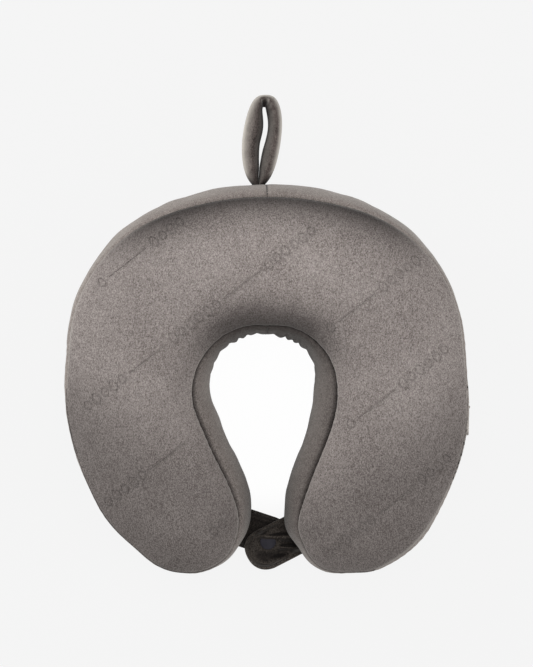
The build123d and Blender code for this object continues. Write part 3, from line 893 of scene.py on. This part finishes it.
def stitch_mesh(name, path, ups, length, pitch, radius, closed, lift=0.0):
    """A row of single stitches along a path of points; each is a small bowed capsule."""
    path = np.asarray(path, float)
    ups = np.asarray(ups, float)
    if closed:
        path = np.vstack([path, path[:1]])
        ups = np.vstack([ups, ups[:1]])
    run = lengths_along(path)
    count = int(run[-1] / pitch)
    shares = np.linspace(-0.5, 0.5, STITCH_RINGS)
    turns = [2 * math.pi * j / STITCH_SIDES for j in range(STITCH_SIDES)]
    bow = 1 - (2 * shares) ** 2
    sizes = radius * (0.45 + 0.55 * bow**0.5)
    verts, faces = [], []
    for k in range(count):
        s = (k + 0.5) * run[-1] / count + shares * length
        s = s % run[-1] if closed else np.clip(s, 0, run[-1])
        line = resampled(path, run, s)
        up = resampled(ups, run, s)
        up /= np.linalg.norm(up, axis=1, keepdims=True)
        tangent = line[-1] - line[0]
        tangent /= max(np.linalg.norm(tangent), 1e-9)
        side = np.cross(tangent, up)
        line += up * (lift + radius * (bow[:, None] - 0.4))
        faces += tube_faces(STITCH_RINGS, STITCH_SIDES, len(verts))
        for middle, across, out, size in zip(line, side, up, sizes):
            verts += [middle + size * (math.cos(a) * across + math.sin(a) * out) for a in turns]
    return mesh_object(name, verts, faces)


def seam_stitches(name, row, node, groove):
    """Stitches in a long seam's groove; where the groove is shallow the cloth nearly hides them."""
    sunk = 3.0 * np.clip(1 - groove, 0, 1)
    path = COVER[row] - NORMALS[row] * np.broadcast_to(sunk, COLUMNS)[:, None]
    obj = stitch_mesh(name, path, NORMALS[row], 2.9, 3.1, 0.5, True, 0.3)
    return finish_piece(obj, "pillow", M_SEAM, "thread", node)


seam_stitches("top_seam_stitches", ROW_TOP_SEAM, "top_seam_thread", groove_depth(FOLD))
seam_stitches("bottom_seam_stitches", ROW_BOTTOM_SEAM, "bottom_seam_thread", 1.0)
for label, column in (("back", 0), ("nape", NAPE)):
    rows = slice(ROW_BOTTOM_SEAM + 2, ROW_TOP_SEAM - 1)
    upright = stitch_mesh(f"{label}_seam_stitches", COVER[rows, column], NORMALS[rows, column], 2.4, 3.1, 0.3,
                          False, -0.05)
    finish_piece(upright, "pillow", M_SEAM, "thread", f"{label}_seam_thread")


# ---------------------------------------------------------------- zip surround
def zip_point(angle, r, z):
    """A point on the zip's arc: angle in degrees, r out from the cover's face, z from mid height."""
    a = math.radians(angle)
    reach = SIDE_R + r
    return (ZIP_CENTRE[0] + reach * math.cos(a), ZIP_CENTRE[1] + reach * math.sin(a), HALF + z)


HOOD_LOW = ZIP_HIGH - math.degrees(1.5 / SIDE_R)
# The folded edge beside the zip's slot, as (out from the cover's face, height from the zip's middle).
WELT_SECTION = [(-0.4, 12.6), (0.35, 12.3), (1.0, 11.5), (1.55, 10.2), (1.8, 8.8), (1.62, 7.4), (1.5, 6.9)]
WELT_SECTION += [(1.72, 6.3), (1.85, 5.7), (1.6, 5.0), (1.0, 4.65), (-0.6, 4.6), (-1.9, 4.75), (-2.05, 5.3)]
WELT_SECTION += [(-1.4, 6.6), (-1.1, 9.0), (-0.9, 11.6)]
WELT_STEPS = 150


def welt(name, sign):
    """The gusset's folded, top-stitched edge beside the zip."""
    low = ZIP_LOW - 1.6
    wave = loop_noise(61 + sign, 9.0, 40.0, WELT_STEPS * 2)[:WELT_STEPS]
    verts = []
    for i in range(WELT_STEPS):
        angle = low + (HOOD_LOW + 1.2 - low) * i / (WELT_STEPS - 1)
        rise = min(1.0, i / 9.0) ** 0.5
        for r, z in WELT_SECTION:
            proud = r * rise if r > 0 else r
            height = z + (0.10 if z < 7 else 0.3) * wave[i]
            verts.append(zip_point(angle, proud * (1 + 0.05 * wave[i]), sign * height))
    obj = mesh_object(name, verts, tube_faces(WELT_STEPS, len(WELT_SECTION)))
    return finish_piece(rounded(recalculated(obj)), "pillow", M_WELT, "gusset_velour")


welt("zip_welt_upper", 1)
welt("zip_welt_lower", -1)

stitch_angles = np.linspace(ZIP_LOW - 0.8, HOOD_LOW - 0.2, 160)
parts = []
for sign in (1, -1):
    line = [zip_point(a, 1.45, sign * 6.95) for a in stitch_angles]
    ups = [(math.cos(math.radians(a)), math.sin(math.radians(a)), 0) for a in stitch_angles]
    parts.append(stitch_mesh(f"zip_stitch_{sign}", line, ups, 2.5, 3.2, 0.32, False, 0.1))
# Close zigzag stitches tie the zip's open end.
tie = [zip_point(ZIP_LOW + 0.15 + 0.22 * (i % 2), 0.9, z) for i, z in enumerate(np.linspace(-5.5, 5.5, 23))]
tie_up = [(math.cos(math.radians(ZIP_LOW)), math.sin(math.radians(ZIP_LOW)), 0)] * len(tie)
parts.append(stitch_mesh("zip_end_tie", tie, tie_up, 1.1, 0.62, 0.3, False, 0.2))


def join(objects, name):
    """Joins mesh objects into the first and names it."""
    verts, faces = [], []
    for obj in objects:
        base = len(verts)
        verts += [v.co / MM for v in obj.data.vertices]
        faces += [tuple(base + i for i in p.vertices) for p in obj.data.polygons]
        bpy.data.objects.remove(obj)
    return mesh_object(name, verts, faces)


finish_piece(join(parts, "zip_stitching"), "pillow", M_SEAM, "thread", "zip_topstitch")


def zip_hood():
    """The padded cloth hood over the zip's closed end."""
    low, high = HOOD_LOW - 0.15, HOOD_LOW + math.degrees(13.0 / SIDE_R)
    half_z, thick = 9.0, 1.9
    n_a, n_z = 26, 34
    top, bottom = [], []
    for i in range(n_a):
        u = 2 * i / (n_a - 1) - 1
        for k in range(n_z):
            v = 2 * k / (n_z - 1) - 1
            # A rounded rectangle: the square grid is eased towards its corners.
            uu = u * (1 - 0.10 * v * v * abs(v))
            vv = v * (1 - 0.10 * u * u * abs(u))
            angle = low + (high - low) * (uu + 1) / 2
            fall = max(0.0, 1 - abs(u) ** 5) ** 0.5 * max(0.0, 1 - abs(v) ** 7) ** 0.5
            seam = bell(max(abs(u) * 6.5, abs(v) * 9.0) - 5.2, 0.8) if abs(v) < 0.8 else 0
            top.append(zip_point(angle, 0.15 + thick * fall - 0.35 * seam * fall, half_z * vv))
            bottom.append(zip_point(angle, -0.3, half_z * vv * 0.98))
    count = len(top)
    faces = grid_faces(n_a, n_z, False)
    under = [tuple(count + i for i in reversed(f)) for f in faces]
    rim = list(range(n_z)) + [i * n_z + n_z - 1 for i in range(1, n_a)]
    rim += [(n_a - 1) * n_z + k for k in range(n_z - 2, -1, -1)] + [i * n_z for i in range(n_a - 2, 0, -1)]
    sides = [(a, b, count + b, count + a) for a, b in zip(rim, rim[1:] + rim[:1])]
    obj = mesh_object("zip_hood_velour", top + bottom, faces + under + sides)
    recalculated(obj)
    return finish_piece(obj, "pillow", M_WELT, "gusset_velour", "zip_garage")


zip_hood()


# ---------------------------------------------------------------- hanging loop
LOOP_LOW, LOOP_HIGH = (np.array(v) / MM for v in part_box("hang_loop"))
LOOP_MID = (LOOP_LOW + LOOP_HIGH) / 2


def hanging_loop():
    """A plush tube folded into a loop, pinched where it is sewn into the back seam."""
    around, section = 144, 28
    root_y = LOOP_LOW[1] - 4.0
    length = LOOP_HIGH[1] + 3.8 - root_y
    half_width = (LOOP_HIGH[0] - LOOP_LOW[0]) / 2 + 0.5
    slit_low, slit_high = 0.13, 0.87
    wave = loop_noise(71, 30, 90, around * 2)[:around]
    fuzz = blur(np.random.default_rng(8).normal(size=(section, around)), 1, 1.6)
    grid = np.zeros((around, section, 3))
    slit_shade = np.zeros((around, section))
    for i in range(around):
        phi = 2 * math.pi * i / around - math.pi / 2
        c, s = math.cos(phi), math.sin(phi)
        taper = 0.88 - 0.15 * s + 0.5 * max(0.0, -s) ** 5
        outer = np.array([half_width * np.sign(c) * abs(c) ** taper * (1 + 0.09 * s), (s + 1) / 2])
        slit_t = slit_low + (slit_high - slit_low) * (s + 1) / 2
        # The slit is a closed crease near the root, opens above it and wanders a little.
        gape = 0.04 + 1.75 * max(0.0, min(1.0, (slit_t - 0.24) / 0.26))
        wander = 2.0 * bell(slit_t - 0.64, 0.16) - 0.9 * bell(slit_t - 0.88, 0.1)
        inner = np.array([gape * np.sign(c) * abs(c) ** 0.35 + wander, slit_t])
        middle = (outer + inner) / 2
        reach = (outer - inner) / 2
        at = (outer[1] + inner[1]) / 2
        pinch = 1 - 0.6 * bell(at, 0.16)
        # The tube creases where it turns: at the loop's tip and at its root.
        from_tip = phi - math.pi / 2
        crease = 0.75 * bell(from_tip, 0.16) + 0.5 * bell(abs(from_tip) - math.pi, 0.2)
        thick = 7.6 * pinch
        for k in range(section):
            a = 2 * math.pi * k / section
            ca, sa = math.cos(a), math.sin(a)
            puff = 1 + 0.03 * fuzz[k, i] + 0.02 * wave[i]
            x = middle[0] + reach[0] * ca
            t = middle[1] + reach[1] * ca
            inside = min(1.0, max(0.0, 0.6 - 0.9 * ca))
            z = thick * sa * puff * (1 - crease * inside * max(0.0, 1 - abs(ca) ** 3))
            lean = -6.0 + 5.0 * max(t, 0.0) ** 1.3 + 1.0 * bell(t - 0.8, 0.3)
            grid[i, k] = (x + lean, root_y + length * t, LOOP_MID[2] + z)
            # Painted shade on the inside of the loop by its slit and towards its tip.
            slit_shade[i, k] = 0.75 * eased(-ca, -0.45, 0.95) + 0.22 * eased(t, 0.6, 0.95)
    faces = grid_faces(around, section, ring=True)
    obj = recalculated(mesh_object("hang_loop_plush", grid.reshape(-1, 3), faces))
    set_painted_shade(obj, slit_shade)
    finish_piece(rounded(obj), None, M_LOOP, "velour", "hang_loop")
    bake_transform(obj)


hanging_loop()


# ---------------------------------------------------------------- embossed pattern
EMBOSS_ANGLE = math.radians(38.0)
EMBOSS_START = (-105.4, -87.1)
EMBOSS_ROW = 67.0
EMBOSS_SHIFT = 33.0
EMBOSS_REPEAT = 91.0
EMBOSS_LINE = 35.0
EMBOSS_WIDTH = 1.0
EMBOSS_RISE = 0.42
# The ridge's section, as shares of its width and its rise.
EMBOSS_SECTION = ((-0.5, -0.2), (-0.25, 1.0), (0.25, 1.0), (0.5, -0.2))


def lozenge(centre, half_long, half_high):
    """A closed rounded lozenge in pattern coordinates."""
    turns = np.linspace(0, 2 * math.pi, 33)
    x, y = (np.sign(v) * np.abs(v) ** 1.3 for v in (np.cos(turns), np.sin(turns)))
    return list(zip(centre + half_long * x, half_high * y))


def pattern_paths():
    """Rows of straight dashes and groups of lozenges, as paths on the table plane."""
    along = np.array([math.cos(EMBOSS_ANGLE), math.sin(EMBOSS_ANGLE)])
    across = np.array([-along[1], along[0]])
    paths = []
    for row in range(-4, 3):
        for repeat in range(-3, 5):
            start = repeat * EMBOSS_REPEAT + row * EMBOSS_SHIFT
            shapes = [[(start, 0.0), (start + EMBOSS_LINE, 0.0)]]
            for k in range(6):
                tall = 3.6 if k % 2 else 4.6
                shapes.append(lozenge(start + EMBOSS_LINE + 8.0 + 8.2 * k, 2.9, tall))
            for shape in shapes:
                paths.append([along * u + across * (v + row * EMBOSS_ROW) + EMBOSS_START for u, v in shape])
    return paths


def drop_to_panel(tree, p):
    """Place, normal and face of the top panel under a plan point, or None off the panel's flat part."""
    hit, normal, face = tree.ray_cast(Vector((p[0] * MM, p[1] * MM, 0.2)), Vector((0, 0, -1)))[:3]
    if hit is None or normal.z < 0.8 or hit.z < 0.08:
        return None
    return np.array(hit) / MM, np.array(normal), face


def embossed_pattern():
    """The pattern pressed into the top panel, as low ridges that follow its surface."""
    tree = BVHTree.FromObject(top_panel, bpy.context.evaluated_depsgraph_get())
    panel = evaluated_copy(top_panel)
    panel_shade = panel.attributes[SHADE_ATTRIBUTE].data
    painted_shade = []
    verts, faces = [], []
    for path in pattern_paths():
        path = np.array(path)
        run = lengths_along(path)
        count = max(int(run[-1] / 0.9), 3)
        plan = resampled(path, run, np.linspace(0, run[-1], count))
        hits = [drop_to_panel(tree, p) for p in plan]
        if any(h is None for h in hits):
            continue
        line = np.array([h[0] for h in hits])
        closed = np.linalg.norm(plan[0] - plan[-1]) < 0.01
        before, after = (line[-2], line[1]) if closed else (line[0], line[-1])
        padded = np.vstack([before, line, after])
        ridge = tube_faces(count, 4, len(verts))
        # A closed ridge has no end caps.
        faces += ridge[:-2] if closed else ridge
        for (place, up, face), along in zip(hits, padded[2:] - padded[:-2]):
            side = np.cross(up, along)
            side /= np.linalg.norm(side)
            verts += [place + side * w * EMBOSS_WIDTH + up * h * EMBOSS_RISE for w, h in EMBOSS_SECTION]
            # Each ridge takes the painted shade of the panel under it.
            painted_shade += [panel_shade[panel.polygons[face].vertices[0]].value] * 4
    obj = recalculated(mesh_object("embossed_pattern", verts, faces))
    set_painted_shade(obj, painted_shade)
    return finish_piece(obj, "pillow", M_EMBOSS, "velour")


embossed_pattern()


# ---------------------------------------------------------------- closing straps
def strap_frame(joint_name, turn):
    """A strap's root point and its direction to the free end, from its hinge."""
    joint = joints[joint_name]
    axis = Vector(joint["axis"]) * turn
    toward = Vector((0, 0, 1)).cross(axis).normalized()
    return np.array(joint["pos_m"]) / MM, np.array(toward), np.array((-toward.y, toward.x, 0.0))


def strap_reach(node, root, toward, side):
    """The CAD strap's length past its root and half its width."""
    co = np.array([v.co for v in frame["nodes"][node].data.vertices]) / MM - root
    return (co @ toward).max(), np.abs(co @ side).max()


# Folds between a strap's root and its press button: (height above the button's level, spread, rise).
STRAP_FOLDS = ((1.9, 0.9, -1.7), (-1.0, 1.6, 1.3), (-5.8, 2.6, -1.7))
STRAP_CREST = (7.2, 2.3, 2.1)
# Painted shade and painted light on a strap: level and spread, from and to across, and how much darker (below
# 0 it paints light).
STRAP_SHADES = ((5.5, 3.2, -4.0, 18.0, -0.36), (1.9, 1.0, 7.0, 30.0, 0.3), (-7.2, 3.4, -11.0, 14.0, 0.52))
# How far the plush stands past the CAD strap, how far its lower edge sags, and half its least thickness.
STRAP_PLUSH = 0.9
STRAP_SAG = 1.7
STRAP_THIN = 1.35
STRAP_BACK = 9.0
STITCH_INSET = 2.2


def strap_lift(u, w, button, slope, seed, pleat):
    """Height of the strap's surface: soft waves, and level folds that run into the press button."""
    wave = 0.35 * math.sin(0.16 * u + seed) * math.sin(0.15 * w + 0.7 * seed)
    level = -(slope[0] * (u - button) + slope[1] * w)
    folds = sum(rise * bell(level - at, spread) for at, spread, rise in STRAP_FOLDS)
    clear = min(1.0, max(0.0, (math.hypot(u - button, w) - 5.8) / 1.6))
    clear /= 1 + math.exp((u - button - 3.0) / 2.0)
    at, spread, rise = STRAP_CREST
    crest = rise * bell(level - at, spread) / (1 + math.exp((u - button - 3.5) / 1.2))
    return wave + pleat * (clear * folds + crest)


def strap_side(v, width, past, pleat):
    """How far a point of the strap's section lies from its middle line; its lower edge sags a little."""
    return v * width + pleat * STRAP_SAG * max(0.0, v) ** 2 * (1 - past)


def strap_shade_at(level, across, inward, dark, shades):
    """Painted shade at a place of the strap given from the press button; a painted sheen pales it near the
    edges.
    """
    for at, spread, low, high, change in shades:
        inside = 1 / ((1 + math.exp(low - across)) * (1 + math.exp(across - high)))
        dark += change * bell(level - at, spread) * inside
    return max(0.0, dark - 0.25 * bell(inward, 3.0))


def strap_thickness(u, w, length, half_width, button):
    """Half the strap's thickness: plump towards its edges, pressed flat round the press button."""
    inward = half_width - math.hypot(max(0.0, u - length + half_width), w)
    plump = 1.9 * bell(inward - 4.2, 2.7)
    return STRAP_THIN + plump * (1 - bell(math.hypot(u - button, w), 8.5, 4))


def strap_cloth(node, joint_name, turn, seed, pleat, dark, shades):
    """A folded velour strap with rounded edges and its row of stitching; the stitching rides on the body that
    shares the strap's node name.
    """
    name = f"{node}_cloth"
    root, toward, side = strap_frame(joint_name, turn)
    length, half_width = (size + STRAP_PLUSH for size in strap_reach(node, root, toward, side))
    button = float((np.array(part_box("snap_cap")[0]) / MM + 6.2 - root) @ toward)
    slope = (-toward[1], -side[1])
    straight = length - half_width
    around = 72
    rounding = half_width * np.sin(np.linspace(0.06, 1, 20) * math.pi / 2)
    stations = np.concatenate([np.linspace(-STRAP_BACK, straight, 40), straight + rounding])
    grid = np.zeros((len(stations), around, 3))
    strap_shade_map = np.zeros((len(stations), around))
    for i, u in enumerate(stations):
        past = max(0.0, u - straight) / half_width
        width = half_width * max(1 - min(past, 0.9995) ** 2.3, 0.0) ** (1 / 2.3)
        for k in range(around):
            a = 2 * math.pi * k / around
            ca, sa = math.cos(a), math.sin(a)
            v = np.sign(ca) * abs(ca) ** 0.7
            w = strap_side(v, width, past, pleat)
            plump = strap_thickness(u, v * width, length, half_width, button)
            plump = STRAP_THIN + (plump - STRAP_THIN) * (0.65 + 0.35 * sa)
            edge = plump * min(1.0, (width / half_width) ** 0.5 + 0.15)
            z = edge * np.sign(sa) * abs(sa) ** 0.85
            stitched = bell(abs(v) * width - (width - STITCH_INSET), 0.8) if u > 0 else 0.0
            z *= 1 - 0.3 * stitched
            # The folds stand out above and are slight underneath.
            z += (0.65 + 0.35 * sa) * strap_lift(u, w, button, slope, seed, pleat)
            offset = toward * (u - button) + side * w
            grid[i, k] = root + toward * button + offset
            grid[i, k, 2] += z
            strap_shade_map[i, k] = strap_shade_at(offset[1], offset[0], width * (1 - abs(v)), dark, shades)
    obj = recalculated(mesh_object(name, grid.reshape(-1, 3), tube_faces(len(stations), around)))
    set_painted_shade(obj, strap_shade_map)
    finish_piece(rounded(obj), None, M_STRAP, "strap_velour", node)
    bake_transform(obj)
    # The row of stitching inside the strap's edge.
    reach = half_width - STITCH_INSET
    turn_angles = np.linspace(-math.pi / 2, math.pi / 2, 40)
    plan = [(u, -reach) for u in np.linspace(5.0, straight, 20)]
    plan += [(straight + reach * math.cos(t), reach * math.sin(t)) for t in turn_angles[1:-1]]
    plan += [(u, reach) for u in np.linspace(straight, 5.0, 20)]
    line = []
    for u, w in plan:
        w = strap_side(w / reach, reach, max(0.0, u - straight) / half_width, pleat)
        z = STRAP_THIN * 0.62 + strap_lift(u, w, button, slope, seed, pleat)
        line.append(root + toward * u + side * w + np.array((0, 0, z)))
    stitches = stitch_mesh(f"{name}_stitches", line, [(0, 0, 1)] * len(line), 2.3, 2.9, 0.28, False, 0.15)
    finish_piece(stitches, node, M_STRAP_SEAM, "thread", f"{node}_stitching")


# Both straps get painted shade all over; the left one, lying under the right, gets more.
strap_cloth("left_strap", "left_strap_drop", -1, 1.3, 0.1, 0.62, ())
strap_cloth("right_strap", "right_strap_lift", 1, 0.4, 1.0, 0.36, STRAP_SHADES)


# ---------------------------------------------------------------- CAD nodes that keep their shape
for node, material in {
    "zip_tape_upper": M_TAPE, "zip_tape_lower": M_TAPE, "zip_coil_upper": M_COIL, "zip_coil_lower": M_COIL,
    "zip_top_stop": M_METAL, "zip_bottom_stop": M_METAL, "zip_slider": M_METAL, "zip_pull": M_METAL,
    "snap_cap": M_SNAP, "snap_socket": M_SNAP, "snap_stud": M_SNAP, "snap_back_cap": M_SNAP,
}.items():
    dress(frame["nodes"][node], material)


# ---------------------------------------------------------------- floor, light and camera
PAPER = 0.885
WORLD_LIGHT = 0.55
# The paper glows a little more in the neck opening: the glow's middle, and its inner and outer radius.
GLOW = 0.98
GLOW_MIDDLE = (0.0, -0.115, 0.0)
GLOW_RADII = (0.06, 0.11)
FLOOR_HALF = 3000.0

corners = [(x * FLOOR_HALF, y * FLOOR_HALF, 0) for x, y in ((-1, -1), (1, -1), (1, 1), (-1, 1))]
floor = mesh_object("floor", corners, [(0, 1, 2, 3)])
n = Nodes("floor")
from_middle = n.node("VectorMath", {0: n.coords, 1: GLOW_MIDDLE}, operation="DISTANCE")["Value"]
for key, value in {
    "Base Color": (0.02, 0.02, 0.02, 1), "Roughness": 1.0, "Specular IOR Level": 0.0,
    "Emission Color": (1, 1, 1, 1), "Emission Strength": n.ramp(from_middle, *GLOW_RADII, GLOW, PAPER),
}.items():
    n.feed(n.bsdf.inputs[key], value)
dress(floor, n.material)

# The camera sees a sky as pale as the paper; the object is lit by a dimmer one.
world = bpy.data.worlds.new("studio")
world.use_nodes = True
tree = world.node_tree
background = tree.nodes["Background"]
background.inputs["Color"].default_value = (1, 1, 1, 1)
strength = tree.nodes.new("ShaderNodeMapRange")
strength.inputs["To Min"].default_value = WORLD_LIGHT
strength.inputs["To Max"].default_value = PAPER
tree.links.new(tree.nodes.new("ShaderNodeLightPath").outputs["Is Camera Ray"], strength.inputs["Value"])
tree.links.new(strength.outputs["Result"], background.inputs["Strength"])
bpy.context.scene.world = world

LIGHTS_AIM = Vector((0, -0.05, 0.05))


def softbox(name, place, size, watts):
    """A square studio light that points at the pillow."""
    data = bpy.data.lights.new(name, "AREA")
    data.shape = "RECTANGLE"
    data.size = data.size_y = size
    data.energy = watts
    light = new_object(name, data)
    light.location = place
    light.rotation_euler = (LIGHTS_AIM - Vector(place)).to_track_quat("-Z", "Y").to_euler()


softbox("left_softbox", (-1.5, 0.8, 0.95), 1.2, 27.0)
softbox("right_softbox", (1.6, -0.5, 0.9), 1.2, 15.0)
softbox("overhead", (0.0, 0.5, 2.6), 1.4, 22.0)

# The camera looks straight down with a lean of 2 degrees, far enough away for a flat perspective.
FRAME_HEIGHT = 0.517
CAMERA_FAR = 2.2
LEAN = math.radians(2.0)
SENSOR = 36.0
# The picture's middle: nearly on the pillow's middle plane, and this far towards -Y from its back.
PICTURE_X, PICTURE_DOWN = 0.0004, 0.1144
target = Vector((PICTURE_X, BACK_Y * MM - PICTURE_DOWN, HALF * MM))
camera_data = bpy.data.cameras.new("camera")
camera_data.sensor_fit = "VERTICAL"
camera_data.sensor_height = SENSOR
camera_data.lens = SENSOR * CAMERA_FAR / FRAME_HEIGHT
camera_data.clip_end = 20.0
camera = new_object("camera", camera_data)
camera.location = target + Vector((-math.sin(LEAN), 0, math.cos(LEAN))) * CAMERA_FAR
camera.rotation_euler = (0.0, -LEAN, 0.0)
scene = bpy.context.scene
scene.camera = camera
scene.view_settings.view_transform = "Standard"
scene.view_settings.look = "None"
